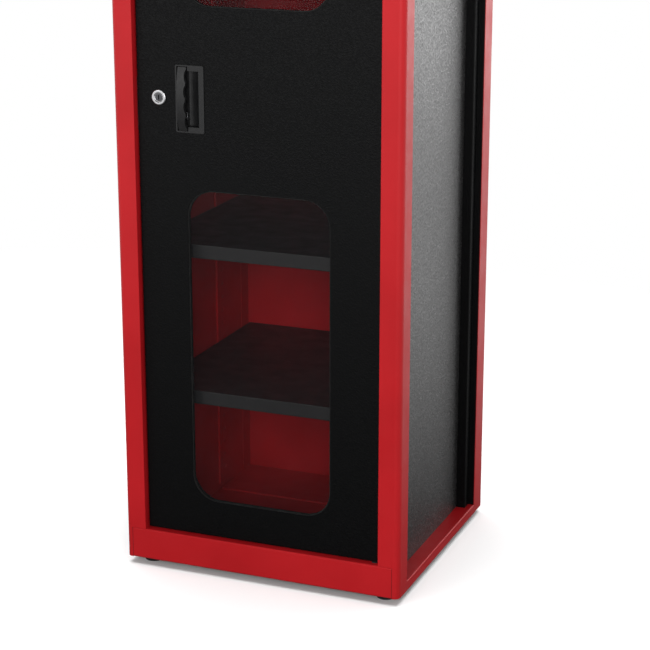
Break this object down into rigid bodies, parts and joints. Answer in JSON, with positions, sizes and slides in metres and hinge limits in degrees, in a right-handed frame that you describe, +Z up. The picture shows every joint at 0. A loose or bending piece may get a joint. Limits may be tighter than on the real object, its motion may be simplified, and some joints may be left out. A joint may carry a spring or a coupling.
{
  "type": "filament drying cabinet",
  "caption": "Tall lockable dry cabinet for filament spools: red frame, black door with two smoked windows, inner shelves, recessed grip latch, cam lock and top fan dryer.",
  "frame": {"origin": "on the floor, under the middle of the cabinet's bounding box", "axes": "+Z up, the door faces -Y, +X to the right when facing the door"},
  "size_m": [0.55, 0.505, 1.785],
  "materials": {
    "red_powder": "red powder coat with a fine orange peel, semi-gloss",
    "red_liner": "red powder coat on inner sheet",
    "black_texture": "black powder coat with a fine dry texture",
    "black_powder": "black powder coat, smooth",
    "smoked_pane": "smoked clear acrylic",
    "black_plastic": "black glass-filled nylon, fine grained",
    "white_plastic": "off-white moulded plastic",
    "chrome": "nickel-chrome plate",
    "steel": "zinc-plated steel",
    "aluminium": "bare aluminium fins",
    "rubber": "soft black rubber"
  },
  "bodies": {
    "cabinet": {"post_front_right": "red_powder", "post_front_left": "red_powder", "post_rear_right": "red_powder", "post_rear_left": "red_powder", "rail_front_bottom": "red_powder", "rail_front_top": "red_powder", "rail_rear_bottom": "red_powder", "rail_rear_top": "red_powder", "rails_side_bottom": "red_powder", "rails_side_top": "red_powder", "roof_panel": "red_powder", "base_gussets": "red_powder", "liner_top": "red_liner", "floor_tray": "red_liner", "liner_right": "red_liner", "liner_left": "red_liner", "liner_back": "red_liner", "door_stops": "red_liner", "shelf_uprights": "red_liner", "side_panel_right": "black_texture", "side_panel_left": "black_texture", "back_panel": "black_texture", "duct_right": "black_texture", "duct_left": "black_texture", "shelf_1": "black_powder", "shelf_2": "black_powder", "shelf_3": "black_powder", "shelf_4": "black_powder", "shelf_5": "black_powder", "dryer_housing": "black_powder", "pivot_pins": "black_powder", "fan_frame": "black_plastic", "power_inlet": "black_plastic", "humidity_sensor": "white_plastic", "back_screws": "steel", "shelf_clips": "steel", "strike_plate": "steel", "fan_guard": "steel", "foot_studs": "steel", "heater_block": "aluminium", "foot_pads": "rubber"},
    "door": {"door_skin": "black_texture", "door_pan": "black_powder", "window_lower": "smoked_pane", "window_upper": "smoked_pane", "window_seals": "rubber", "door_seal": "rubber", "pivot_bushes": "white_plastic", "handle_housing": "black_plastic", "lever_pin": "steel", "lever_spring": "steel", "latch_guide": "black_plastic", "lock_barrel": "chrome", "lock_nut": "steel"},
    "lever": {"grip_lever": "black_plastic"},
    "latch": {"latch_bolt": "steel"},
    "lock": {"lock_plug": "chrome", "lock_cam": "steel"},
    "fan": {"fan_rotor": "black_plastic"}
  },
  "joints": [
    {"name": "door_hinge", "type": "hinge", "parent": "cabinet", "child": "door", "pos_m": [0.2235, -0.2345, 0.9], "axis": [0, 0, 1], "range_deg": [0, 100]},
    {"name": "lever_pull", "type": "hinge", "parent": "door", "child": "lever", "pos_m": [-0.1453, -0.2358, 0.9], "axis": [0, 0, -1], "range_deg": [0, 22], "stiffness_Nm_per_rad": 0.6, "springref_deg": -11.46},
    {"name": "latch_slide", "type": "slide", "parent": "door", "child": "latch", "axis": [1, 0, 0], "range_m": [0, 0.0031]},
    {"name": "lock_turn", "type": "hinge", "parent": "door", "child": "lock", "pos_m": [-0.1888, -0.2334, 0.9], "axis": [0, 1, 0], "range_deg": [0, 90]},
    {"name": "fan_spin", "type": "hinge", "parent": "cabinet", "child": "fan", "pos_m": [0, 0.06, 1.67], "axis": [0, 0, 1], "continuous": true}
  ],
  "couplings": [
    {"joint": "lever_pull", "follows": "latch_slide", "rad_per_m": 123.8}
  ]
}
